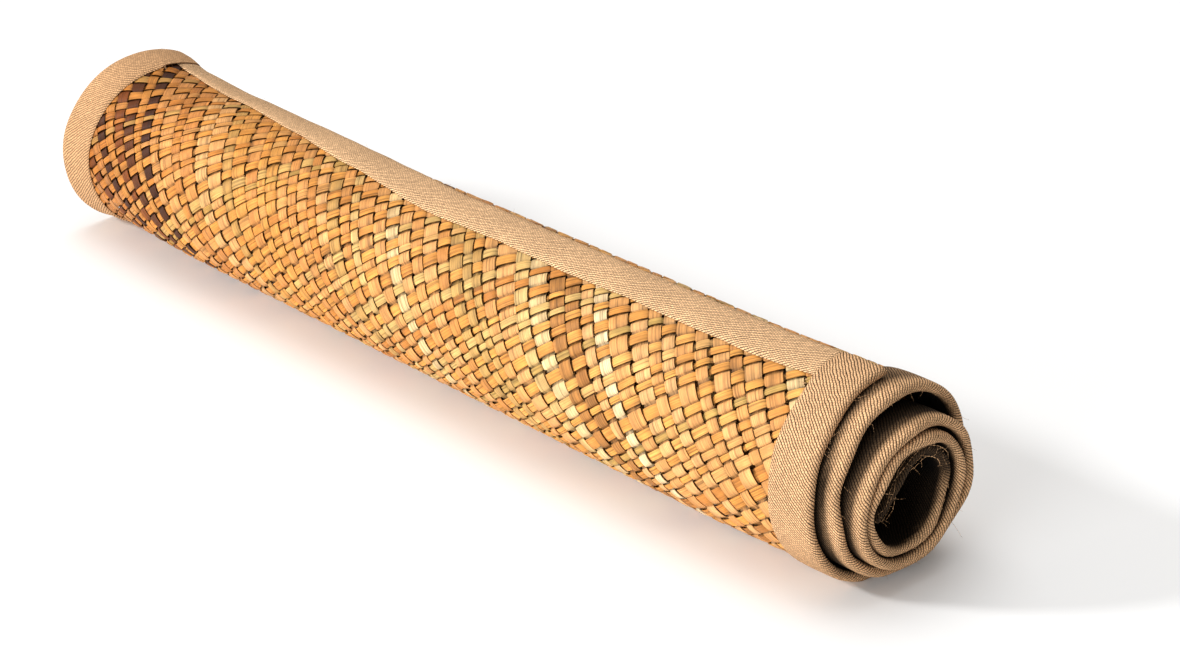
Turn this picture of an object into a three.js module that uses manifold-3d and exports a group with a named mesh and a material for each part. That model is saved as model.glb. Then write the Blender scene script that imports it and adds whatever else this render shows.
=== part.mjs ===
import * as THREE from "three";
import Module from "manifold-3d";

// Rolled mat of plaited flat seagrass strips with its four edges bound in coarse cloth.
// Millimetres. +X runs along the roll to its open end, -Y is the front and +Z is up.

// Sizes of the flat mat
const MAT_WIDTH = 600;
const PANEL_THICK = 3.0;
const CLOTH_THICK = 1.0;
const SEAT_GAP = 0.33;
const SIDE_BAND = 25;
const END_BAND = 23;

// Sizes of the roll
const AXIS_HEIGHT = 50.5;
const ROLL_SHIFT = -10.8;
const EDGE_BACK = 5;
const EDGE_LEAN = 25;
const LEAN_FADE = 330;

// The middle of the roll bows to the front of its bound ends, and its top dips behind the far band
const BOW = 4;
const BOW_BACK = 1.0;
const BOW_FLAT = 195;
const BOW_END = 300;
const DIP = 4.4;
const DIP_FROM = -290;
const DIP_FULL = -260;
const DIP_TO = 40;
const DIP_LOW = 75;
const DIP_HIGH = 104;

// Fineness of the faces
const WALK_STEP = 0.005;
const CORE_STEPS = 16;
const ROW_OUTER = 7.4;
const ROW_INNER = 4.2;
const BAND_ROWS = 4;
const PANEL_COLUMNS = [-300, -275, -246, -195, -75, 75, 195, 246, 275, 300];

const BOUND_THICK = PANEL_THICK + 2 * (SEAT_GAP + CLOTH_THICK);
const SLOT_THICK = PANEL_THICK + 2 * SEAT_GAP;
const REST_HEIGHT = BOUND_THICK / 2;

// The winding, one row a quarter turn from the free edge on top: top, front, foot, back and on inwards.
// radius is to the middle of the sheet, near and far are how far the two long edges slide along +X.
const TURNS = [
  { turn: -0.5, radius: 55.4, near: -6, far: 20 },
  { turn: -0.25, radius: 55.1, near: -5, far: 16 },
  { turn: 0.0, radius: 54.1, near: -2.5, far: 12 },
  { turn: 0.25, radius: 48.3, near: 0, far: 0 },
  { turn: 0.5, radius: 49.3, near: 4, far: -3 },
  { turn: 0.75, radius: 48.9, near: 9.5, far: -2 },
  { turn: 1.0, radius: 48.0, near: 9.5, far: 1 },
  { turn: 1.25, radius: 41.9, near: 10.5, far: 4 },
  { turn: 1.5, radius: 41.6, near: 16.5, far: 6 },
  { turn: 1.75, radius: 39.8, near: 22.5, far: 8 },
  { turn: 2.0, radius: 35.2, near: 22, far: 10 },
  { turn: 2.25, radius: 35.1, near: 20.5, far: 12 },
  { turn: 2.5, radius: 35.3, near: 22, far: 13 },
  { turn: 2.75, radius: 31.6, near: 24, far: 14 },
  { turn: 3.0, radius: 28.7, near: 24.4, far: 15 },
  { turn: 3.25, radius: 29.0, near: 20.5, far: 15 },
  { turn: 3.5, radius: 29.2, near: 20.5, far: 15 },
  { turn: 3.75, radius: 24.0, near: 20.5, far: 15 },
  { turn: 4.0, radius: 21.0, near: 22, far: 15 },
  { turn: 4.25, radius: 18.0, near: 20, far: 15 },
];
const TURN_FIRST = -0.2;
const TURN_LAST = 3.88;

// The inner flap, which leaves the winding at the top of the core and crosses it; y and z from the axis.
const CORE = [
  { y: 6.0, z: 20.6, near: 22, far: 15 },
  { y: -1.4, z: 17.6, near: 21, far: 15 },
  { y: -5.4, z: 10.6, near: 20, far: 15 },
  { y: -9.0, z: 2.6, near: 19, far: 15 },
  { y: -14.0, z: -4.6, near: 18.5, far: 15 },
  { y: -19.6, z: -8.8, near: 18, far: 15 },
];

// Cubic through p1 and p2 with the slopes that p0 and p3 give
function cubic(p0, p1, p2, p3, u) {
  const bend = 2 * p0 - 5 * p1 + 4 * p2 - p3;
  const twist = 3 * (p1 - p2) + p3 - p0;
  return p1 + 0.5 * u * (p2 - p0 + u * (bend + u * twist));
}

function turnRow(turn, column) {
  const place = (turn - TURNS[0].turn) / 0.25;
  const i = Math.min(Math.max(Math.floor(place), 1), TURNS.length - 3);
  const four = [TURNS[i - 1], TURNS[i], TURNS[i + 1], TURNS[i + 2]];
  return cubic(...four.map((row) => row[column]), place - i);
}

// A point of the sheet's middle on the winding; the foot is pressed flat where it would pass the floor.
function woundPoint(turn) {
  const angle = 2 * Math.PI * turn;
  const radius = turnRow(turn, "radius");
  const z = AXIS_HEIGHT + radius * Math.cos(angle);
  return {
    y: -radius * Math.sin(angle),
    z: Math.max(z, REST_HEIGHT),
    near: turnRow(turn, "near"),
    far: turnRow(turn, "far"),
  };
}

// The whole middle line as close points, each with its length along the mat from the free edge
function walkMiddle() {
  const points = [];
  for (let turn = TURN_FIRST; turn < TURN_LAST + WALK_STEP / 2; turn += WALK_STEP) {
    points.push({ turn, ...woundPoint(turn) });
  }
  const lead = [woundPoint(TURN_LAST - 0.06), woundPoint(TURN_LAST)];
  const core = CORE.map((row) => ({ ...row, z: AXIS_HEIGHT + row.z }));
  const last = core[core.length - 1];
  const before = core[core.length - 2];
  const beyond = {
    y: 2 * last.y - before.y,
    z: 2 * last.z - before.z,
    near: last.near,
    far: last.far,
  };
  const knots = [...lead, ...core, beyond];
  for (let i = 1; i < knots.length - 2; i += 1) {
    for (let step = 1; step <= CORE_STEPS; step += 1) {
      const point = { turn: 9 };
      for (const column of ["y", "z", "near", "far"]) {
        const four = [knots[i - 1], knots[i], knots[i + 1], knots[i + 2]];
        point[column] = cubic(...four.map((row) => row[column]), step / CORE_STEPS);
      }
      points.push(point);
    }
  }
  points.push({ turn: 9, ...beyond });
  let length = 0;
  points.forEach((point, i) => {
    if (i > 0) {
      length += Math.hypot(point.y - points[i - 1].y, point.z - points[i - 1].z);
    }
    point.s = length;
  });
  const start = points.find((point) => point.turn > -WALK_STEP / 2).s;
  points.forEach((point, i) => {
    const a = points[Math.max(i - 1, 0)];
    const b = points[Math.min(i + 1, points.length - 1)];
    const size = Math.hypot(b.y - a.y, b.z - a.z);
    point.s -= start;
    point.ny = (b.z - a.z) / size;
    point.nz = -(b.y - a.y) / size;
  });
  return points;
}

const MIDDLE = walkMiddle();
const MAT_LENGTH = MIDDLE[MIDDLE.length - 2].s;

function middleAt(s) {
  let low = 0;
  let high = MIDDLE.length - 1;
  while (high - low > 1) {
    const half = (low + high) >> 1;
    if (MIDDLE[half].s > s) {
      high = half;
    } else {
      low = half;
    }
  }
  const a = MIDDLE[low];
  const b = MIDDLE[high];
  const u = (s - a.s) / (b.s - a.s);
  const point = {};
  for (const column of ["y", "z", "near", "far", "ny", "nz"]) {
    point[column] = a[column] + u * (b[column] - a[column]);
  }
  return point;
}

// Rises smoothly from 0 to 1 between two places
function ease(from, to, place) {
  const u = Math.min(Math.max((place - from) / (to - from), 0), 1);
  return u * u * (3 - 2 * u);
}

// Bends a straight roll to the bow and the dip it really has
function settled(x, y, z) {
  const middle = ease(-BOW_END, -BOW_FLAT, x) * ease(BOW_END, BOW_FLAT, x);
  const dip = ease(DIP_FROM, DIP_FULL, x) * ease(DIP_TO, DIP_FULL, x) * ease(DIP_LOW, DIP_HIGH, z);
  return [x, y + BOW_BACK - BOW * middle, z - DIP * dip];
}

// From the flat mat to the roll: s along it from the free edge, w across it, lift out of its middle.
// The free edge lies just behind the top and leans further back over the far half.
function rolled(s, w, lift) {
  const across = w / MAT_WIDTH + 0.5;
  const back = EDGE_BACK + EDGE_LEAN * Math.max(1 - 2 * across, 0);
  const fade = 1 - Math.min(s / LEAN_FADE, 1);
  const point = middleAt(s - back * fade);
  const size = Math.hypot(point.ny, point.nz);
  const x = w + ROLL_SHIFT + point.far + (point.near - point.far) * across;
  return settled(x, point.y + (lift * point.ny) / size, point.z + (lift * point.nz) / size);
}

// A closed length of sheet over the given rows along the mat and columns across it
function sheet(rows, columns, thick) {
  const positions = [];
  for (const lift of [thick / 2, -thick / 2]) {
    for (const s of rows) {
      for (const w of columns) {
        positions.push(...rolled(s, w, lift));
      }
    }
  }
  const wide = columns.length;
  const under = rows.length * wide;
  const index = [];
  for (let i = 0; i < rows.length - 1; i += 1) {
    for (let j = 0; j < wide - 1; j += 1) {
      const a = i * wide + j;
      const b = a + wide;
      index.push(a, b, b + 1, a, b + 1, a + 1);
      index.push(under + a, under + b + 1, under + b);
      index.push(under + a, under + a + 1, under + b + 1);
    }
  }
  const rim = [];
  for (let i = 0; i < rows.length - 1; i += 1) rim.push(i * wide);
  for (let j = 0; j < wide - 1; j += 1) rim.push((rows.length - 1) * wide + j);
  for (let i = rows.length - 1; i > 0; i -= 1) rim.push(i * wide + wide - 1);
  for (let j = wide - 1; j > 0; j -= 1) rim.push(j);
  rim.forEach((a, k) => {
    const b = rim[(k + 1) % rim.length];
    index.push(under + a, under + b, b, under + a, b, a);
  });
  const geometry = new THREE.BufferGeometry();
  geometry.setAttribute("position", new THREE.Float32BufferAttribute(positions, 3));
  geometry.setIndex(index);
  return geometry;
}

const wasm = await Module();
wasm.setup();

function solidOf(geometry) {
  return new wasm.Manifold(
    new wasm.Mesh({
      numProp: 3,
      vertProperties: new Float32Array(geometry.getAttribute("position").array),
      triVerts: new Uint32Array(geometry.index.array),
    }),
  );
}

// A folded binding: the outer block of cloth less the slot that holds the panel's edge
function binding(outerRows, slotRows, outerColumns, slotColumns) {
  const block = solidOf(sheet(outerRows, outerColumns, BOUND_THICK));
  const slot = solidOf(sheet(slotRows, slotColumns, SLOT_THICK));
  const mesh = block.subtract(slot).getMesh();
  const geometry = new THREE.BufferGeometry();
  geometry.setAttribute("position", new THREE.Float32BufferAttribute(mesh.vertProperties, 3));
  geometry.setIndex(new THREE.BufferAttribute(mesh.triVerts, 1));
  return geometry;
}

function evenRows(from, to, count) {
  return Array.from({ length: count }, (_, i) => from + ((to - from) * i) / count);
}

// Rows along the mat: even in each short band, closer together towards the tight core between them
function matRows() {
  const from = END_BAND;
  const to = MAT_LENGTH - END_BAND;
  const count = Math.round((2 * (to - from)) / (ROW_OUTER + ROW_INNER));
  const ease = (ROW_OUTER - ROW_INNER) / (ROW_OUTER + ROW_INNER);
  const field = Array.from({ length: count }, (_, i) => {
    const u = i / count;
    return from + (to - from) * u * (1 + ease * (1 - u));
  });
  return {
    outerBand: [...evenRows(0, END_BAND, BAND_ROWS), END_BAND],
    all: [
      ...evenRows(0, END_BAND, BAND_ROWS),
      ...field,
      ...evenRows(to, MAT_LENGTH, BAND_ROWS + 1),
      MAT_LENGTH,
    ],
    innerBand: [...evenRows(to, MAT_LENGTH, BAND_ROWS + 1), MAT_LENGTH],
  };
}

const ROWS = matRows();
const HALF = MAT_WIDTH / 2;
const WRAP = SEAT_GAP + CLOTH_THICK;
const OPEN = 2;

// Bindings of the two long edges, closed round the panel's corners at both ends
function longBinding(side) {
  const columns = (inner, outer) => [side * inner, side * outer].sort((a, b) => a - b);
  return binding(
    [-WRAP, ...ROWS.all, MAT_LENGTH + WRAP],
    [-SEAT_GAP, ...ROWS.all, MAT_LENGTH + SEAT_GAP],
    columns(HALF - SIDE_BAND, HALF + WRAP),
    columns(HALF - SIDE_BAND - OPEN, HALF + SEAT_GAP),
  );
}

// Bindings of the two short edges, which butt against the long ones
const SHORT_END = HALF - SIDE_BAND - SEAT_GAP;
const SHORT_COLUMNS = [-SHORT_END, ...PANEL_COLUMNS.slice(2, -2), SHORT_END];
const SLOT_COLUMNS = [-SHORT_END - OPEN, ...PANEL_COLUMNS.slice(2, -2), SHORT_END + OPEN];

const outerBinding = binding(
  [-WRAP, ...ROWS.outerBand],
  [-SEAT_GAP, ...ROWS.outerBand, END_BAND + OPEN],
  SHORT_COLUMNS,
  SLOT_COLUMNS,
);
const innerBinding = binding(
  [...ROWS.innerBand, MAT_LENGTH + WRAP],
  [ROWS.innerBand[0] - OPEN, ...ROWS.innerBand, MAT_LENGTH + SEAT_GAP],
  SHORT_COLUMNS,
  SLOT_COLUMNS,
);

const group = new THREE.Group();

function piece(name, geometry, colour, roughness) {
  const material = new THREE.MeshStandardMaterial({ color: colour, roughness, metalness: 0 });
  const mesh = new THREE.Mesh(geometry, material);
  mesh.name = name;
  group.add(mesh);
}

piece("mat_panel", sheet(ROWS.all, PANEL_COLUMNS, PANEL_THICK), 0xd9b06b, 0.72);
piece("binding_near", longBinding(1), 0xdcb68c, 0.92);
piece("binding_far", longBinding(-1), 0xddb78d, 0.92);
piece("binding_outer", outerBinding, 0xd7ad82, 0.92);
piece("binding_inner", innerBinding, 0xc9a278, 0.92);

export default group;
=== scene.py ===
import math

import bpy
import numpy as np
from mathutils import Matrix, Vector


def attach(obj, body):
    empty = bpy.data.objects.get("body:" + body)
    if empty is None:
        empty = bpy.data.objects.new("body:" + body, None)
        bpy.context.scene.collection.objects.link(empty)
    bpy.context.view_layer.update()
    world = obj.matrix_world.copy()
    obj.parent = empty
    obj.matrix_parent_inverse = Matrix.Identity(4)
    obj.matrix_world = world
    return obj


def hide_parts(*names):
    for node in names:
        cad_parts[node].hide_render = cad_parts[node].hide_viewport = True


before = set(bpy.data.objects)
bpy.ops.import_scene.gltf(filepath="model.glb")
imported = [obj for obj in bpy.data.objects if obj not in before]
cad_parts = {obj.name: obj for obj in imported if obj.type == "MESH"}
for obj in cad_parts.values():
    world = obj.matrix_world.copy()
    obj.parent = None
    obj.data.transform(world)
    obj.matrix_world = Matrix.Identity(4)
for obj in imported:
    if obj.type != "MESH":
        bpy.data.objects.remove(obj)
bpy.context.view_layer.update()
SEED = 23
rng = np.random.default_rng(SEED)

# The roll in millimetres, as in the part's source: +X to the open end, -Y the front, +Z up.
MM = 0.001
MAT_WIDTH, HALF = 600.0, 300.0
SIDE_BAND, END_BAND = 25.0, 23.0
AXIS_HEIGHT, ROLL_SHIFT = 50.5, -10.8
EDGE_BACK, EDGE_LEAN, LEAN_FADE = 3.4, 26.6, 330.0
REST_HEIGHT = 2.83
BOW, BOW_BACK, BOW_FLAT, BOW_END = 4.0, 1.0, 195.0, 300.0
DIP, DIP_FROM, DIP_FULL, DIP_TO, DIP_LOW, DIP_HIGH = 4.4, -290.0, -260.0, 40.0, 75.0, 104.0
TURN_FIRST, TURN_LAST, WALK_STEP = -0.2, 3.88, 0.005
CORE_STEPS, CORE_LEAD = 16, 0.06
QUARTER = 0.25
FLOOR_GAP = 0.02
SHARP_FROM = math.radians(50)

# turn, radius of the sheet's middle, slide of the near and of the far long edge: a row a quarter turn
TURNS = np.array(
    [
        (-0.5, 55.4, -6, 20),
        (-0.25, 55.1, -5, 16),
        (0.0, 54.1, -2.5, 12),
        (0.25, 48.3, 0, 0),
        (0.5, 49.3, 4, -3),
        (0.75, 48.9, 9.5, -2),
        (1.0, 48.0, 9.5, 1),
        (1.25, 41.9, 10.5, 4),
        (1.5, 41.6, 16.5, 6),
        (1.75, 39.8, 22.5, 8),
        (2.0, 35.2, 22, 10),
        (2.25, 35.1, 20.5, 12),
        (2.5, 35.3, 22, 13),
        (2.75, 31.6, 24, 14),
        (3.0, 28.7, 24.4, 15),
        (3.25, 29.0, 20.5, 15),
        (3.5, 29.2, 20.5, 15),
        (3.75, 24.0, 20.5, 15),
        (4.0, 21.0, 22, 15),
        (4.25, 18.0, 20, 15),
    ],
    float,
)
# y and z from the axis, slide of the near and of the far edge: the flap that crosses the core
CORE = np.array(
    [
        (6.0, 20.6, 21.5, 15),
        (-1.4, 17.6, 20, 15),
        (-5.4, 10.6, 18, 15),
        (-9.0, 2.6, 17, 15),
        (-14.0, -4.6, 16.5, 15),
        (-19.6, -8.8, 16, 15),
    ],
    float,
)


def cubic(p0, p1, p2, p3, u):
    return p1 + 0.5 * u * (
        p2 - p0 + u * (2 * p0 - 5 * p1 + 4 * p2 - p3 + u * (3 * (p1 - p2) + p3 - p0))
    )


def wound(turn):
    """y, z and the two slides on the winding; the foot is flat where it would pass the floor."""
    place = (np.atleast_1d(turn) - TURNS[0, 0]) / QUARTER
    i = np.clip(np.floor(place).astype(int), 1, len(TURNS) - 3)
    row = cubic(TURNS[i - 1], TURNS[i], TURNS[i + 1], TURNS[i + 2], (place - i)[:, None])
    angle = 2 * math.pi * np.atleast_1d(turn)
    y = -row[:, 1] * np.sin(angle)
    z = np.maximum(AXIS_HEIGHT + row[:, 1] * np.cos(angle), REST_HEIGHT)
    return np.column_stack([y, z, row[:, 2], row[:, 3]])


def walk_middle():
    """The sheet's middle line: length from the top; y, z, the slides and the outward normal."""
    turns = np.arange(TURN_FIRST, TURN_LAST + WALK_STEP / 2, WALK_STEP)
    points = [wound(turns)]
    core = CORE + (0, AXIS_HEIGHT, 0, 0)
    beyond = 2 * core[-1] - core[-2]
    beyond[2:] = core[-1][2:]
    knots = [wound(TURN_LAST - CORE_LEAD)[0], wound(TURN_LAST)[0], *core, beyond]
    u = (np.arange(CORE_STEPS) + 1)[:, None] / CORE_STEPS
    for i in range(1, len(knots) - 2):
        points.append(cubic(*knots[i - 1 : i + 3], u))
    line = np.vstack([*points, beyond])
    s = np.concatenate([[0], np.cumsum(np.hypot(*np.diff(line[:, :2], axis=0).T))])
    s -= np.interp(0, turns, s[: len(turns)])
    pad = np.vstack([line[0], line, line[-1]])
    run = pad[2:, :2] - pad[:-2, :2]
    run /= np.hypot(run[:, 0], run[:, 1])[:, None]
    return s, np.column_stack([line, run[:, 1], -run[:, 0]])


LINE_S, LINE = walk_middle()
MAT_LENGTH = LINE_S[-2]


def edge_back(w):
    return EDGE_BACK + EDGE_LEAN * np.maximum(-w / HALF, 0)


def wound_length(s, w):
    """From the length along the mat, counted from its free edge, to the length along the winding."""
    return s - edge_back(w) * (1 - np.minimum(s / LEAN_FADE, 1))


def ease(low, high, place):
    u = np.clip((place - low) / (high - low), 0, 1)
    return u * u * (3 - 2 * u)


def settled(x, y, z):
    """Bends a straight roll to its bow to the front and to the dip of its top behind the far band."""
    middle = ease(-BOW_END, -BOW_FLAT, x) * ease(BOW_END, BOW_FLAT, x)
    dip = ease(DIP_FROM, DIP_FULL, x) * ease(DIP_TO, DIP_FULL, x) * ease(DIP_LOW, DIP_HIGH, z)
    return np.stack([x, y + BOW_BACK - BOW * middle, z - DIP * dip], -1)


def rolled(sigma, w, lift):
    """Length along the winding, place across and lift off the middle, to a point of the roll."""
    y, z, near, far, ny, nz = (np.interp(sigma, LINE_S, column) for column in LINE.T)
    size = np.hypot(ny, nz)
    across = w / MAT_WIDTH + 0.5
    x = w + ROLL_SHIFT + far + (near - far) * across
    return settled(x, y + lift * ny / size, z + lift * nz / size)


def ripple(x, scale, seed):
    """A smooth wandering value, mostly from -1 to 1, that changes over about the given length."""
    own = np.random.default_rng(seed)
    total = 0
    for k in range(4):
        total = total + np.sin(np.asarray(x) / scale * own.uniform(0.6, 2.6) + own.uniform(0, 6.3))
    return total / 2.4


def srgb(code):
    """A hex colour as the linear values the shader works in."""
    parts = [int(code[i : i + 2], 16) / 255 for i in (0, 2, 4)]
    return [v / 12.92 if v <= 0.04045 else ((v + 0.055) / 1.055) ** 2.4 for v in parts]


def faces_inward(points, faces):
    """Whether the faces of a closed island look into it, by the sign of its volume."""
    fan = np.array([(f[0], f[i], f[i + 1]) for f in faces for i in range(1, len(f) - 1)])
    a, b, c = (points[fan] - points[0]).transpose(1, 0, 2)
    return np.einsum("ij,ij->", a, np.cross(b, c)) < 0


class Pile:
    """Collects closed islands of vertices, faces and named vertex values for one joined mesh."""

    def __init__(self):
        self.points, self.faces, self.values, self.count = [], [], {}, 0

    def add(self, points, faces, **values):
        points = np.asarray(points, float)
        if faces_inward(points, faces):
            faces = [face[::-1] for face in faces]
        self.points.append(points)
        self.faces.extend([[i + self.count for i in face] for face in faces])
        for key, value in values.items():
            self.values.setdefault(key, []).append(np.broadcast_to(value, (len(points), 3)))
        self.count += len(points)

    def mesh(self, name, material):
        points = np.vstack(self.points)
        points[:, 2] = np.maximum(points[:, 2], FLOOR_GAP)
        mesh = bpy.data.meshes.new(name)
        mesh.from_pydata((points * MM).tolist(), [], self.faces)
        for key, value in self.values.items():
            attribute = mesh.attributes.new(key, "FLOAT_VECTOR", "POINT")
            attribute.data.foreach_set("vector", np.vstack(value).astype(np.float32).ravel())
        mesh.polygons.foreach_set("use_smooth", np.ones(len(mesh.polygons), bool))
        mesh.materials.append(material)
        mesh.update()
        mesh.set_sharp_from_angle(angle=SHARP_FROM)
        piece = bpy.data.objects.new(name, mesh)
        bpy.context.scene.collection.objects.link(piece)
        return piece


def tube_faces(rows, ring):
    """Faces of a closed tube: rows of ring points each, with a cap at both ends."""
    i, j = np.meshgrid(np.arange(rows - 1), np.arange(ring), indexing="ij")
    a = i * ring + j
    b = i * ring + (j + 1) % ring
    sides = np.stack([a, b, b + ring, a + ring], -1).reshape(-1, 4).tolist()
    return sides + [list(range(ring))[::-1], list(range((rows - 1) * ring, rows * ring))]


# The plait: flat strips over one and under one, running across the mat both ways on the bias.
LEAN = math.radians(50.5)
DOWN = np.array([math.cos(LEAN), math.sin(LEAN)])
UP = np.array([math.sin(LEAN), -math.cos(LEAN)])
DOWN_PITCH, UP_PITCH = 8.2, 6.5
DOWN_SPAN, UP_SPAN = (-870, 270), (-240, 970)
DOWN_FILL, UP_FILL = (0.82, 0.95), (0.62, 0.82)
# Range of painted shade where a strip rises from under the crossed one, for each set
DOWN_SHADE, UP_SHADE = (0.1, 0.75), (0.4, 1.0)
WIDTH_SPREAD, WIDTH_LEAST, WIDTH_MOST, SPARE_STRIPS = 0.2, 0.7, 1.45, 8
WAVE, HALF_THICK, CROWN = 0.74, 0.2, 0.11
WAVE_SPREAD, NOTCH_SPREAD = (0.75, 1.2), (0.0, 0.3)
DRIFT, DRIFT_RUN, DRIFT_SEED = 0.08, 36, 3000
TILT, TILT_RUN, TILT_SEED = 0.15, 6, 5000
LANE_APART = 37.0
TUCK = 7.0
# The front that the photo shows, the rest of the outer turn, and the turns inside it have ever
# fewer rows: part of the way over a crossed strip and share of the full lift there.
FRONT_LENGTH, OUTER_LENGTH = 128.0, 325.0
FRONT_STEPS = ((0.0, 0.0), (0.07, 0.58), (0.32, 0.96), (0.68, 0.96), (0.93, 0.58))
OUTER_STEPS = ((0.2, 0.85), (0.8, 0.85))
INNER_STEPS = ((0.5, 1.0),)
# The five points round a strip: place across, lift, and how much of the shade at a crossing they take
RING_ACROSS = np.array([-1.0, 0.0, 1.0, 0.96, -0.96])
RING_LIFT = np.array([HALF_THICK, HALF_THICK + CROWN, HALF_THICK, -HALF_THICK, -HALF_THICK])
RING_SHADE = np.array([1.6, 0.65, 1.6, 1.0, 1.0])
RING = len(RING_ACROSS)
# Shade on a strip that goes under: at the start, at the rim of the strip above, and covered by it
SHADE_START, SHADE_RIM, SHADE_COVERED, RIM_PART = 0.25, 0.42, 0.85, 0.4
# Loss of red, green and blue: weathered far end, browner far half, shade beside the free edge
WEATHERED, WEATHERED_FROM, WEATHERED_TO = (0.26, 0.36, 0.46), -170, -285
BROWNED, BROWNED_FROM, BROWNED_TO = (0.07, 0.15, 0.26), 60, -160
SHADED, SHADED_FROM, SHADED_TO = 0.16, 64, 22


def spaced(low, high, pitch):
    """Places of the lines between strips of uneven width."""
    spread = WIDTH_SPREAD * rng.standard_normal(int((high - low) / pitch) + SPARE_STRIPS)
    widths = pitch * np.clip(1 + spread, WIDTH_LEAST, WIDTH_MOST)
    return low + np.concatenate([[0], np.cumsum(widths)])


DOWN_EDGES = spaced(*DOWN_SPAN, DOWN_PITCH)
UP_EDGES = spaced(*UP_SPAN, UP_PITCH)

# colour and share of the strips that run each way
DOWN_HUES = [
    ("db9d5c", 22),
    ("e2a666", 22),
    ("d79654", 16),
    ("e3ab6e", 12),
    ("dea052", 12),
    ("cd8b48", 7),
    ("e6b57a", 5),
    ("c69a58", 7),
    ("d9b272", 4),
    ("e9c58d", 5),
    ("b47a3e", 6),
    ("a56d35", 3),
]
UP_HUES = [
    ("e09d4c", 22),
    ("db9648", 20),
    ("e4a455", 16),
    ("d48e42", 12),
    ("dca05c", 12),
    ("c9823b", 6),
    ("e5ae68", 6),
    ("c09852", 7),
    ("d6ad68", 6),
    ("e6be80", 5),
    ("b27538", 5),
    ("a0682f", 2),
]
# Strips that stand out in the photo, by place across the down-running set
MARKED = [
    (-263, "8a5220"),
    (-247, "58300c"),
    (-229, "915420"),
    (-220.5, "693b14"),
    (-209, "4c270b"),
    (-33, "e8c48d"),
    (91, "f0d09f"),
]


def strip_hues(edges, hues, marked=()):
    chance = np.array([share for _, share in hues], float)
    picked = [hues[i][0] for i in rng.choice(len(hues), len(edges) - 1, p=chance / chance.sum())]
    middle = (edges[1:] + edges[:-1]) / 2
    for place, code in marked:
        picked[int(np.argmin(np.abs(middle - place)))] = code
    return [srgb(code) for code in picked]


def inside(w, sigma):
    """Whether a place of the panel lies within the bindings' folds or between them."""
    low = TUCK - edge_back(w)
    return (np.abs(w) < HALF - TUCK) & (sigma > low) & (sigma < MAT_LENGTH - TUCK)


def steps_at(sigma):
    if sigma < FRONT_LENGTH:
        return FRONT_STEPS
    return OUTER_STEPS if sigma < OUTER_LENGTH else INNER_STEPS


def plait(edges, crossed, along_way, across_way, parity, hues, fill, shade):
    """One set of strips as a pile of closed ribbons that ride over and under the crossed set."""
    pile = Pile()
    centres = (crossed[1:] + crossed[:-1]) / 2
    for k in range(len(edges) - 1):
        middle, wide = (edges[k] + edges[k + 1]) / 2, edges[k + 1] - edges[k]
        where = centres[:, None] * along_way + middle * across_way
        kept = np.nonzero(inside(where[:, 0], where[:, 1]))[0]
        if len(kept) < 2:
            continue
        along, lift, share_wide, crossing_shade, crest_highlight = [], [], [], [], []
        for j in kept:
            side = (1 if (k + j) % 2 == 0 else -1) * parity
            high = WAVE * rng.uniform(*WAVE_SPREAD)
            notch = 1 - rng.uniform(*NOTCH_SPREAD)
            start = rng.uniform(*shade) if side > 0 else SHADE_START
            for part, share in steps_at(where[j, 1]):
                under = SHADE_RIM if abs(part - 0.5) > RIM_PART else SHADE_COVERED
                along.append(crossed[j] + part * (crossed[j + 1] - crossed[j]))
                lift.append(side * high * share)
                share_wide.append(notch if part == 0 else 1.0)
                # painted shade at a crossing: where the strip rises, at the rim of the strip above,
                # and under it
                crossing_shade.append(start if part == 0 else (0.0 if side > 0 else under))
                # painted highlight on the crest of a strip that rides over
                crest_highlight.append(share if side > 0 and part > 0 else 0.0)
        along, lift = np.array(along), np.array(lift)
        half = wide * rng.uniform(*fill) / 2 * np.array(share_wide)
        drift = middle + DRIFT * wide * ripple(along, DRIFT_RUN, DRIFT_SEED + k)
        tilt = TILT * ripple(along, TILT_RUN, TILT_SEED + k)
        across = drift[:, None] + half[:, None] * RING_ACROSS
        level = lift[:, None] + RING_LIFT + tilt[:, None] * RING_ACROSS
        w = along[:, None] * along_way[0] + across * across_way[0]
        sigma = along[:, None] * along_way[1] + across * across_way[1]
        points = rolled(sigma, w, level).reshape(-1, 3)
        lane_across = (half[:, None] * RING_ACROSS).ravel()
        lane_own = np.full(len(points), LANE_APART * k)
        lane = np.column_stack([np.repeat(along, RING), lane_across, lane_own])
        crest_highlight = np.repeat(crest_highlight, RING)
        # painted shade at the crossings and a painted highlight on the crests, carried to the shader
        depth = np.column_stack([np.outer(crossing_shade, RING_SHADE).ravel(), crest_highlight, crest_highlight])
        weathered = ease(WEATHERED_FROM, WEATHERED_TO, w).reshape(-1, 1) * WEATHERED
        browned = ease(BROWNED_FROM, BROWNED_TO, w).reshape(-1, 1) * BROWNED
        shaded = SHADED * ease(SHADED_FROM, SHADED_TO, sigma + edge_back(w)).reshape(-1, 1)
        tint = np.array(hues[k]) * (1 - weathered) * (1 - browned) * (1 - shaded)
        pile.add(points, tube_faces(len(along), RING), tint=tint, lane=lane, depth=depth)
    return pile


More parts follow.
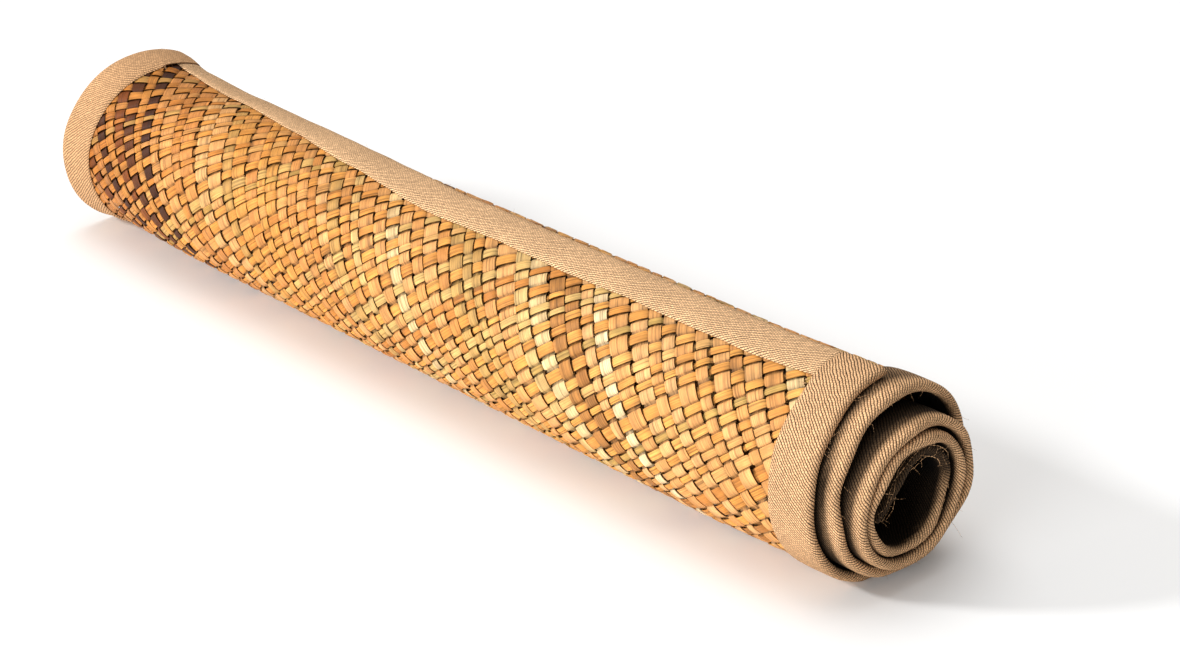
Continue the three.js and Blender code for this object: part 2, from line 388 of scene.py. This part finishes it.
# Bindings: cloth folded over an edge. A row of FOLD is the distance in from that edge, as a share of
# the band's width, and the lift off the mat's middle: round the outside, then back round the hollow.
FOLD_OUT = np.array(
    [
        (1.0, 1.3), (0.98, 1.8), (0.94, 2.2), (0.86, 2.5), (0.72, 2.72), (0.58, 2.8),
        (0.43, 2.82), (0.28, 2.8), (0.17, 2.74), (0.09, 2.6), (0.04, 2.2), (0.008, 1.25),
        (-0.002, 0.0), (0.008, -1.25), (0.04, -2.2), (0.09, -2.6), (0.17, -2.74), (0.3, -2.8),
        (0.52, -2.8), (0.72, -2.7), (0.88, -2.4), (0.98, -1.8), (1.0, -1.3),
    ]
)  # fmt: skip
FOLD_IN = np.array(
    [
        (0.985, -0.96), (0.9, -1.1), (0.76, -1.4), (0.5, -1.7), (0.2, -1.74), (0.104, -1.5),
        (0.064, -0.9), (0.048, 0.0), (0.064, 0.9), (0.104, 1.5), (0.2, 1.74), (0.5, 1.7),
        (0.76, 1.4), (0.9, 1.1), (0.985, 0.96),
    ]
)  # fmt: skip
FOLD = np.vstack([FOLD_OUT, FOLD_IN])
FOLD_D, FOLD_LIFT = FOLD.T
END_ROUND, END_SHUT = 3.6, 0.1
CROSS_EASE, CROSS_FROM, CROSS_LIFT, CROSS_OUT, CROSS_IN = 5, 0.45, 0.5, 3.05, 2.35
PRESSED, PRESSED_FROM, PRESSED_TO = 0.26, -1.5, 0.5
LIP_WAVE, LIP_RUN, LIP_FROM, LIP_INNER = 0.6, 26, 0.95, 0.4
RIM_WAVE, RIM_WAVE_INSIDE, RIM_RUN, RIM_FROM, RIM_TO = 0.36, 0.5, 13, 250, 400
SKIN_WAVE, SKIN_RUN, SKIN_LIFT, SKIN_HALF = 0.07, 14.0, 2.1, 0.45
SKIN_ALONG, SKIN_ACROSS = 0.8, 0.5


def rounded(gap):
    """From nearly shut at an end of a band to fully open a few millimetres on."""
    u = np.clip(np.abs(gap) / END_ROUND, 0, 1)
    return np.sqrt(1 - (1 - u) ** 2) * (1 - END_SHUT) + END_SHUT


def over_corner(along):
    """Lift of a long band: shut at both ends, and over the short bands where it crosses them."""
    gap = np.minimum(along - along[0], along[-1] - along)[:, None]
    cross = 1 - ease(END_BAND, END_BAND + CROSS_EASE, gap)
    on_top = np.sign(FOLD_LIFT) * np.where(np.arange(len(FOLD)) < len(FOLD_OUT), CROSS_OUT, CROSS_IN)
    raised = np.where((FOLD_D > CROSS_FROM) & (np.abs(FOLD_LIFT) > CROSS_LIFT), on_top, FOLD_LIFT)
    return rounded(gap) * (FOLD_LIFT + cross * (raised - FOLD_LIFT))


def under_corner(along):
    """Lift of a short band: pressed thinner where its two ends pass under the long bands."""
    band = HALF - SIDE_BAND
    end = ease(band + PRESSED_FROM, band + PRESSED_TO, np.abs(along)[:, None])
    return FOLD_LIFT * (1 - PRESSED * end)


# Painted shade on the cloth inside the roll: along the mat from the second turn on the cloth keeps its
# colour only near the rim, more of it where the light falls in, and is painted darker further in; the
# inner face and the flap are painted dark as shade.
DARK_FROM, DARK_TO, DARK_OUTSIDE, DARK_FADE = 240, 330, 0.95, 5.5
RIM_UNSHADED, RIM_LIT, LIT_FROM, LIT_TO = 2.6, 4, (285, 310), (365, 340)
DARK_INSIDE, INSIDE_UNSHADED, INSIDE_DARK = 0.97, 0.3, 4.0
DARK_FLAP, FLAP_FROM, FLAP_TO = 0.9, 84, 62


# Share of the cloth's colour left after the painted shade inside the roll
def unshaded_share(s, d):
    unshaded = RIM_UNSHADED + RIM_LIT * ease(*LIT_FROM, s) * ease(*LIT_TO, s)
    outside = 1 - DARK_OUTSIDE * ease(DARK_FROM, DARK_TO, s) * ease(unshaded, unshaded + DARK_FADE, d)
    kept = np.where(FOLD_LIFT < 0, 1 - DARK_INSIDE * ease(INSIDE_UNSHADED, INSIDE_DARK, d), outside)
    return kept * (1 - DARK_FLAP * ease(MAT_LENGTH - FLAP_FROM, MAT_LENGTH - FLAP_TO, s))


def fold_band(pile, along, width, place, lifts, seed, flare=None, slip=0.0):
    """A folded band along its edge. place turns (along, distance in) into (length, across the mat).

    slip is how much less of the cloth lies on the outside than on the inside.
    """
    lip = np.where(FOLD_D > LIP_FROM, 1.0, LIP_INNER) * np.clip(FOLD_D, 0, 1)
    reach = width + np.broadcast_to(slip, along.shape)[:, None] * np.where(FOLD_LIFT < 0, 1, -1)
    d = FOLD_D * reach + LIP_WAVE * ripple(along, LIP_RUN, seed)[:, None] * lip
    wave = RIM_WAVE + RIM_WAVE_INSIDE * ease(RIM_FROM, RIM_TO, along)
    d = d + (wave * ripple(along, RIM_RUN, seed + 1))[:, None]
    slant = along[:, None] * SKIN_ALONG + d * SKIN_ACROSS
    skin = SKIN_WAVE * ripple(slant, SKIN_RUN, seed + 2)
    face = (np.abs(FOLD_LIFT) > SKIN_LIFT) * (np.abs(FOLD_D - 0.5) < SKIN_HALF)
    lift = lifts(along) + skin * np.sign(FOLD_LIFT) * face
    s, w = place(along[:, None], d)
    if flare is not None:
        lift = lift + flare(along[:, None], d)
    points = rolled(wound_length(s, w), w, lift).reshape(-1, 3)
    run = np.cumsum(np.hypot(*np.diff(FOLD * (width, 1), axis=0).T))
    run = np.concatenate([[0], run])
    cloth = np.broadcast_arrays(along[:, None], run[None, :], np.float64(seed))
    cloth = np.stack(cloth, -1).reshape(-1, 3)
    # painted shade inside the roll, carried to the cloth's shader
    worn = np.broadcast_to(unshaded_share(s, d), lift.shape).reshape(-1, 1)
    pile.add(points, tube_faces(len(along), len(FOLD)), cloth=cloth, worn=worn)


FIBRE_ROWS, FIBRE_TIP = 6, 0.55
FIBRE_SIDES = (0, 2.094, 4.189)
ANY_WAY = (0.31, 0.52, 0.79)
SHORTEST = 0.4


def strand(pile, path, radius):
    """A loose fibre: a thin closed three-sided tube along a path of points."""
    path = np.asarray(path, float)
    run = np.gradient(path, axis=0)
    run /= np.linalg.norm(run, axis=1)[:, None]
    side = np.cross(run, ANY_WAY)
    side /= np.linalg.norm(side, axis=1)[:, None]
    other = np.cross(run, side)
    taper = radius * np.linspace(1, FIBRE_TIP, len(path))[:, None]
    ring = [side * math.cos(a) + other * math.sin(a) for a in FIBRE_SIDES]
    points = np.stack([path + taper * r for r in ring], 1).reshape(-1, 3)
    cloth = np.zeros((len(points), 3))
    cloth[:, 0] = np.linalg.norm(points - path[0], axis=1)
    # loose fibres carry no painted shade
    pile.add(points, tube_faces(len(path), len(FIBRE_SIDES)), cloth=cloth, worn=1.0)


def hairs(pile, count, start, reach, radius, spread):
    """Loose fibres that leave points of an edge; start gives each one's root and the way it leaves."""
    u = np.linspace(0, 1, FIBRE_ROWS)[:, None]
    for _ in range(count):
        root, way = start()
        way = way + spread * rng.standard_normal(3)
        way /= np.linalg.norm(way)
        bend = spread * rng.standard_normal(3)
        strand(pile, root + reach * rng.uniform(SHORTEST, 1.0) * (u * way + u * u * bend), radius)


# Materials
ATTRIBUTE, NOISE, RANGE = "ShaderNodeAttribute", "ShaderNodeTexNoise", "ShaderNodeMapRange"
MATH, VECTOR = "ShaderNodeMath", "ShaderNodeVectorMath"
MOST_NOISE = (0.3, 0.7)


def add(tree, kind, links=(), **settings):
    """One node with its settings; a link is an input and the node, socket or value that goes in."""
    made = tree.nodes.new(kind)
    for key, value in settings.items():
        setattr(made, key, value)
    for name, source in links:
        if isinstance(source, bpy.types.Node):
            source = source.outputs[0]
        if isinstance(source, bpy.types.NodeSocket):
            tree.links.new(source, made.inputs[name])
        else:
            made.inputs[name].default_value = source
    return made


def material(name):
    made = bpy.data.materials.new(name)
    made.use_nodes = True
    made.node_tree.nodes.clear()
    return made, made.node_tree


def finish_surface(tree, colour, rough, bump, **inputs):
    links = [("Base Color", colour), ("Roughness", rough), ("Normal", bump)]
    surface = add(tree, "ShaderNodeBsdfPrincipled", links)
    for name, value in inputs.items():
        surface.inputs[name.replace("_", " ")].default_value = value
    add(tree, "ShaderNodeOutputMaterial", [("Surface", surface)])


# Cells a millimetre along a strip and across it, and from strip to strip: fibres 0.5 mm apart and
# 29 mm long, coarser than the real ones so that they show, blotches of 12 by 6 mm, splits 1.1 mm
# apart and 50 mm long, and a drift of the hue over 33 by 20 mm.
FIBRES, BLOTCHES = (0.035, 2.1, 1.0), (0.085, 0.16, 1.0)
SPLITS, HUE_DRIFT = (0.02, 0.9, 1.7), (0.03, 0.05, 2.3)
REDDISH = (0.9, 0.72, 0.55)
FIBRE_BUMP, FIBRE_HEIGHT = 0.35, 0.00035


def seagrass():
    """Split sun-dried seagrass, flattened: long fibres, blotches along a strip, a faint waxy sheen."""
    made, tree = material("seagrass_split_and_sun_dried")
    tint, lane, depth = (
        add(tree, ATTRIBUTE, attribute_name=key).outputs["Vector"] for key in ("tint", "lane", "depth")
    )
    shade, crest_highlight, _ = add(tree, "ShaderNodeSeparateXYZ", [(0, depth)]).outputs
    noises = []
    for scale, detail in ((FIBRES, 3.0), (BLOTCHES, 4.0), (SPLITS, 0.0), (HUE_DRIFT, 2.0)):
        at = add(tree, VECTOR, enumerate((lane, scale)), operation="MULTIPLY")
        noises.append(add(tree, NOISE, [("Vector", at), ("Scale", 1.0), ("Detail", detail)]))
    grain, blotch, split, drift = noises
    tones = [
        add(tree, RANGE, enumerate(span))
        for span in (
            (grain, *MOST_NOISE, 0.62, 1.24),
            # crests of the strips on top painted paler as a highlight
            (crest_highlight, 0.4, 1.0, 0.94, 1.08),
            (blotch, *MOST_NOISE, 0.68, 1.16),
            # painted shade at a crossing
            (shade, 0.1, 0.9, 1.0, 0.12),
            (split, 0.6, 0.7, 1.0, 0.66),
        )
    ]
    warm = add(tree, RANGE, enumerate((drift, 0.5, 0.72, 0.0, 0.38)))
    redder = add(tree, VECTOR, enumerate((tint, REDDISH)), operation="MULTIPLY")
    hue = add(tree, "ShaderNodeMix", [(0, warm), (4, tint), (5, redder)], data_type="VECTOR")
    tone = tones[0]
    for factor in tones[1:]:
        tone = add(tree, MATH, enumerate((tone, factor)), operation="MULTIPLY")
    colour = add(tree, VECTOR, [(0, hue.outputs[1]), ("Scale", tone)], operation="SCALE")
    relief = [("Strength", FIBRE_BUMP), ("Distance", FIBRE_HEIGHT), ("Height", grain)]
    bump = add(tree, "ShaderNodeBump", relief)
    rough = add(tree, RANGE, [(0, blotch), (3, 0.48), (4, 0.66)])
    finish_surface(tree, colour, rough, bump, IOR=1.45, Specular_IOR_Level=0.25)
    return made


# Millimetres between yarns, about 1.2 in the photo and drawn a little coarser so that they show; the
# yarns wander by up to 1.6 mm over about 5 mm, and the cloth is faded in patches of about 30 mm.
YARN, WANDER, WANDER_SCALE, FADE_SCALE = 1.35, (1.6, 1.6, 0.0), 0.22, 0.035
BEAD, YARN_ROUND, YARN_CROWN_LIT = (0.42, 0.58), 0.7, 1.24
YARN_BUMP, YARN_HEIGHT = 0.8, 0.0005


def bias_cloth(name, code, turn, dark):
    """Coarse jute cloth in plain weave, cut on the bias: matte yarns seen as fine slanting dots."""
    made, tree = material(name)
    place = add(tree, ATTRIBUTE, attribute_name="cloth").outputs["Vector"]
    # painted shade inside the roll, from the pieces' vertices
    kept = add(tree, ATTRIBUTE, attribute_name="worn").outputs["Fac"]
    wobble = add(tree, NOISE, [("Vector", place), ("Scale", WANDER_SCALE), ("Detail", 2.0)])
    wandered = enumerate((wobble.outputs["Color"], WANDER, place))
    shift = add(tree, VECTOR, wandered, operation="MULTIPLY_ADD")
    spin = [("Vector", shift), ("Angle", turn)]
    spun = add(tree, "ShaderNodeVectorRotate", spin, rotation_type="Z_AXIS")
    scaled = add(tree, VECTOR, enumerate((spun, (1 / YARN, 1 / YARN, 0.0))), operation="MULTIPLY")
    x, y, _ = add(tree, "ShaderNodeSeparateXYZ", [(0, scaled)]).outputs
    row = add(tree, MATH, [(0, x)], operation="FLOOR")
    run = add(tree, MATH, enumerate((row, 0.5, y)), operation="MULTIPLY_ADD")
    grid = add(tree, "ShaderNodeCombineXYZ", enumerate((x, run)))
    cell = add(tree, VECTOR, [(0, grid)], operation="FLOOR")
    part = add(tree, VECTOR, [(0, grid)], operation="FRACTION")
    angle = add(tree, VECTOR, [(0, part), ("Scale", math.pi)], operation="SCALE")
    crown = add(tree, VECTOR, [(0, angle)], operation="SINE")
    across, along, _ = add(tree, "ShaderNodeSeparateXYZ", [(0, crown)]).outputs
    bead = add(tree, MATH, enumerate((along, *BEAD)), operation="MULTIPLY_ADD")
    yarn = add(tree, MATH, enumerate((across, YARN_ROUND)), operation="POWER")
    height = add(tree, MATH, enumerate((yarn, bead)), operation="MULTIPLY")
    slub = add(tree, "ShaderNodeTexWhiteNoise", [("Vector", cell)], noise_dimensions="3D")
    broad = add(tree, NOISE, [("Vector", place), ("Scale", FADE_SCALE), ("Detail", 3.0)])
    # yarn crowns painted paler and the hollows between yarns painted darker: painted light and shade
    # in the weave
    lit = add(tree, RANGE, enumerate((height, 0.2, 0.85, dark, YARN_CROWN_LIT)))
    uneven = add(tree, RANGE, [(0, slub), (3, 0.86), (4, 1.14)])
    faded = add(tree, RANGE, enumerate((broad, *MOST_NOISE, 0.93, 1.05)))
    tone = lit
    for factor in (uneven, faded, kept):
        tone = add(tree, MATH, enumerate((tone, factor)), operation="MULTIPLY")
    colour = add(tree, VECTOR, [(0, srgb(code)), ("Scale", tone)], operation="SCALE")
    rough = add(tree, RANGE, [(0, height), (3, 0.98), (4, 0.88)])
    relief = [("Strength", YARN_BUMP), ("Distance", YARN_HEIGHT), ("Height", height)]
    bump = add(tree, "ShaderNodeBump", relief)
    finish_surface(tree, colour, rough, bump, IOR=1.4, Specular_IOR_Level=0.15)
    return made


# Cells a metre: clouds of about 670 mm, so faint that the paper looks even
CLOUDS, PAPER_DIM, PAPER_PALE = 1.5, 0.89, 0.91


def sweep():
    """Pale matte paper sweep under the roll, with a trace of unevenness."""
    made, tree = material("paper_sweep_matte")
    where = add(tree, "ShaderNodeTexCoord").outputs["Object"]
    cloud = add(tree, NOISE, [("Vector", where), ("Scale", CLOUDS)])
    tone = add(tree, RANGE, [(0, cloud), (3, PAPER_DIM), (4, PAPER_PALE)])
    colour = add(tree, "ShaderNodeCombineXYZ", enumerate((tone, tone, tone)))
    bump = add(tree, "ShaderNodeBump", [("Strength", 0.02), ("Height", cloud)])
    finish_surface(tree, colour, 0.9, bump)
    return made


# The mat's pieces
grass = seagrass()
down_hues = strip_hues(DOWN_EDGES, DOWN_HUES, MARKED)
up_hues = strip_hues(UP_EDGES, UP_HUES)
strips_down = plait(DOWN_EDGES, UP_EDGES, DOWN, UP, 1, down_hues, DOWN_FILL, DOWN_SHADE)
strips_down = strips_down.mesh("plait_strips_down", grass)
strips_up = plait(UP_EDGES, DOWN_EDGES, UP, DOWN, -1, up_hues, UP_FILL, UP_SHADE)
strips_up = strips_up.mesh("plait_strips_up", grass)

# Places along a long band: close together at its two round ends, then fine on the outer turn
ROUND_ROWS, ROUND_LENGTH = np.array([-0.9, -0.7, -0.3, 0.3, 1.1, 2.1]), 3.5
FINE_LENGTH, FINE_STEP, PLAIN_STEP = 330, 2.5, 5.0
SIDE_ROWS = np.concatenate(
    [
        ROUND_ROWS,
        np.arange(ROUND_LENGTH, FINE_LENGTH, FINE_STEP),
        np.arange(FINE_LENGTH, MAT_LENGTH - ROUND_LENGTH, PLAIN_STEP),
        MAT_LENGTH - ROUND_ROWS[::-1],
    ]
)
END_HALF = HALF - SIDE_BAND + 5


def near_side(along, d):
    return along + 0 * d, HALF - d + 0 * along


def far_side(along, d):
    return along + 0 * d, d - HALF + 0 * along


def outer_end(along, d):
    return d + 0 * along, along + 0 * d


def inner_end(along, d):
    return MAT_LENGTH - d + 0 * along, along + 0 * d


FLARE, FLARE_MORE, FLARE_FROM, FLARE_TO = 0.5, 1.7, 25, 70
FLARE_WIDE, FLARE_END, FLARE_FADE = 17, 330, 60


def far_flare(along, d):
    """Lift of the far band's edge, which stands off the turn under it."""
    rise = FLARE + FLARE_MORE * ease(FLARE_FROM, FLARE_TO, along)
    fade = np.clip((FLARE_END - along) / FLARE_FADE, 0, 1)
    return rise * np.clip(1 - d / FLARE_WIDE, 0, 1) ** 2 * fade


near_cloth = bias_cloth("jute_cloth_bias_cut_near", "d3a77c", 0.72, 0.0)
far_cloth = bias_cloth("jute_cloth_bias_cut_far", "c79b71", 0.72, 0.34)
top_cloth = bias_cloth("jute_cloth_bias_cut_top", "dab085", 0.95, 0.05)
core_cloth = bias_cloth("jute_cloth_bias_cut_core", "cfa57b", 0.72, 0.22)


# Loose fibres leave the cloth just in from its edge, between two lifts, and aim at a point further out
SIDE_HAIR_IN, SIDE_HAIR_LIFT, SIDE_HAIR_LENGTH = 0.4, (-2.2, 1.5), 900
END_HAIR_IN, END_HAIR_LIFT, END_HAIR_HALF = 0.3, (-2.0, 2.0), 260
HAIR_AIM, CORNER_LENGTH, FLAP_LENGTH = 2.0, 60, 85
# Where the inner edges of the outer band and a long band meet, fibres rise and lean in over the mat
SEAM_ALONG, SEAM_IN, SEAM_LIFTS = (-1, 5), (-0.5, 1.0), (2.6, 3.6)
SEAM_RISE, SEAM_LEAN, SEAM_BACK = 0.4, 0.9, 0.2
# Threads that hang at the flap: where each starts and ends before the inner edge, and its lift
FLAP_THREADS = ((78, 12, 3.1), (60, 4, -3.0), (46, 2, 3.2))
THREAD_ROWS, THREAD_RADIUS, THREAD_IN = 14, 0.2, 1.0
THREAD_SWAY, THREAD_SWAY_RUN, THREAD_RISE, THREAD_RISE_RUN = 1.2, 9, 0.5, 7


def between(start, end):
    """A point and the unit way from it to another."""
    return start, (end - start) / np.linalg.norm(end - start)


def side_binding(name, place, cloth, seed, flare=None):
    pile = Pile()
    fold_band(pile, SIDE_ROWS, SIDE_BAND, place, over_corner, seed, flare)

    def root(low=0, high=SIDE_HAIR_LENGTH):
        a, b = place(np.array([rng.uniform(low, high)]), np.array([SIDE_HAIR_IN]))
        lift = np.array([rng.uniform(*SIDE_HAIR_LIFT)])
        ways = (0.0, np.sign(b) * HAIR_AIM)
        return between(*(rolled(wound_length(a, b + out), b + out, lift)[0] for out in ways))

    def seam():
        s = np.array([END_BAND + rng.uniform(*SEAM_ALONG)])
        a, b = place(s, np.array([SIDE_BAND + rng.uniform(*SEAM_IN)]))
        at, up = (rolled(wound_length(a, b), b, np.array([lift]))[0] for lift in SEAM_LIFTS)
        return at, (up - at) * SEAM_RISE + (-SEAM_LEAN * np.sign(b[0]), SEAM_BACK, 0)

    def corner():
        return root(0, CORNER_LENGTH)

    def flap():
        return root(MAT_LENGTH - FLAP_LENGTH, MAT_LENGTH)

    hairs(pile, 60, root, reach=4.0, radius=0.08, spread=0.7)
    hairs(pile, 16, corner, reach=4.0, radius=0.09, spread=1.3)
    hairs(pile, 7, seam, reach=5.0, radius=0.13, spread=0.8)
    hairs(pile, 40, flap, reach=3.2, radius=0.1, spread=1.4)
    for first, last, lift in FLAP_THREADS:
        s = MAT_LENGTH - np.linspace(first, last, THREAD_ROWS)
        a, b = place(s, THREAD_IN + THREAD_SWAY * ripple(s, THREAD_SWAY_RUN, first))
        lifts = lift + THREAD_RISE * ripple(s, THREAD_RISE_RUN, first + 1)
        strand(pile, rolled(wound_length(a, b), b, lifts), THREAD_RADIUS)
    return pile.mesh(name, cloth)


binding_near = side_binding("cloth_binding_near", near_side, near_cloth, 41)
binding_far = side_binding("cloth_binding_far", far_side, far_cloth, 61, far_flare)


# Cloth folded further under the outer band, more so towards the far end where it shows narrower
SLIP, SLIP_MORE, SLIP_FROM, SLIP_TO = 1.4, 7.3, 0, -220
# Places about the long bands' inner edges where a short band is pressed thinner
PRESSED_ROWS = np.array([-2.0, -1.0, 0.0, 0.6])


def end_binding(name, place, cloth, step, seed):
    pile = Pile()
    side = HALF - SIDE_BAND + PRESSED_ROWS
    along = np.arange(-END_HALF, END_HALF, step)
    along = np.unique(np.concatenate([along, side, -side, [END_HALF]]))
    if place is outer_end:
        slip = SLIP + SLIP_MORE * ease(SLIP_FROM, SLIP_TO, along)
        fold_band(pile, along, END_BAND, place, under_corner, seed, slip=slip)
    else:
        fold_band(pile, along[::-1], END_BAND, place, under_corner, seed)

    def root():
        a, b = place(np.array([rng.uniform(-END_HAIR_HALF, END_HAIR_HALF)]), np.array([END_HAIR_IN]))
        lift = np.array([rng.uniform(*END_HAIR_LIFT)])
        return between(*(rolled(wound_length(a - out, b), b, lift)[0] for out in (0.0, HAIR_AIM)))

    hairs(pile, 30 if place is outer_end else 16, root, reach=3.0, radius=0.08, spread=0.6)
    return pile.mesh(name, cloth)


binding_outer = end_binding("cloth_binding_outer", outer_end, top_cloth, 3.0, 81)
binding_inner = end_binding("cloth_binding_inner", inner_end, core_cloth, 8.0, 101)

for piece in (strips_down, strips_up, binding_near, binding_far, binding_outer, binding_inner):
    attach(piece, "root")
for piece, node, slot_name in (
    (strips_down, "mat_panel", "seagrass_plait"),
    (strips_up, "mat_panel", "seagrass_plait"),
    (binding_near, "binding_near", "binding_cloth"),
    (binding_far, "binding_far", "binding_cloth"),
    (binding_outer, "binding_outer", "binding_cloth"),
    (binding_inner, "binding_inner", "binding_cloth"),
):
    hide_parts(node)

# Stage: pale sweep, soft light and the photo's camera
FLOOR_SIZE = 60
SKY_COLOUR, SKY_BRIGHT_SIDE = (1.0, 0.985, 0.96, 1), (-0.62, -0.3, 0.72)
SKY_FROM, SKY_TO, SKY_DIM, SKY_BRIGHT = -0.7, 0.9, 0.05, 0.6
SUN_POWER, SUN_SPREAD, SUN_WAY = 1.88, math.radians(8), (0.62, 0.66, -0.46)
CAMERA_AT = (0.9456, -0.8186, 0.6547)
YAW, PITCH, ROLL = (math.radians(v) for v in (-46.1, 26.8, -0.5))
LENS, SENSOR = 78.4, 36

bpy.ops.mesh.primitive_plane_add(size=FLOOR_SIZE)
floor = bpy.context.object
floor.name = "studio_floor"
floor.data.materials.append(sweep())

world = bpy.context.scene.world or bpy.data.worlds.new("studio")
bpy.context.scene.world = world
world.use_nodes = True
sky = world.node_tree
toward = add(sky, "ShaderNodeTexCoord").outputs["Generated"]
open_side = add(sky, VECTOR, enumerate((toward, SKY_BRIGHT_SIDE)), operation="DOT_PRODUCT")
spread = (open_side.outputs["Value"], SKY_FROM, SKY_TO, SKY_DIM, SKY_BRIGHT)
glow = add(sky, RANGE, enumerate(spread))
sky.nodes["Background"].inputs[0].default_value = SKY_COLOUR
sky.links.new(glow.outputs[0], sky.nodes["Background"].inputs[1])


def soft_light(name, place, aim, wide, tall, power):
    data = bpy.data.lights.new(name, "AREA")
    data.shape, data.size, data.size_y, data.energy = "RECTANGLE", wide, tall, power
    lamp = bpy.data.objects.new(name, data)
    lamp.location = place
    lamp.rotation_euler = (Vector(aim) - Vector(place)).to_track_quat("-Z", "Y").to_euler()
    bpy.context.scene.collection.objects.link(lamp)
    return lamp


sun = bpy.data.objects.new("key", bpy.data.lights.new("key", "SUN"))
sun.data.energy, sun.data.angle = SUN_POWER, SUN_SPREAD
sun.rotation_euler = Vector(SUN_WAY).to_track_quat("-Z", "Y").to_euler()
bpy.context.scene.collection.objects.link(sun)
overhead = soft_light("overhead", (-0.2, 0.2, 2.2), aim=(0, 0, 0.05), wide=1.8, tall=1.8, power=26)
front = soft_light("front_fill", (0.4, -3.37, 0.72), aim=(0.2, 0, 0.3), wide=1.8, tall=1.2, power=88)

sight = Vector((math.sin(YAW) * math.cos(PITCH), math.cos(YAW) * math.cos(PITCH), -math.sin(PITCH)))
right = sight.cross(Vector((0, 0, 1))).normalized()
upward = right.cross(sight)
right, upward = (
    math.cos(ROLL) * right + math.sin(ROLL) * upward,
    math.cos(ROLL) * upward - math.sin(ROLL) * right,
)
camera = bpy.data.objects.new("camera", bpy.data.cameras.new("camera"))
camera.data.sensor_width, camera.data.lens = SENSOR, LENS
camera.matrix_world = Matrix(
    [
        (right.x, upward.x, -sight.x, CAMERA_AT[0]),
        (right.y, upward.y, -sight.y, CAMERA_AT[1]),
        (right.z, upward.z, -sight.z, CAMERA_AT[2]),
        (0, 0, 0, 1),
    ]
)
bpy.context.scene.collection.objects.link(camera)
bpy.context.scene.camera = camera
bpy.context.scene.view_settings.view_transform = "Standard"
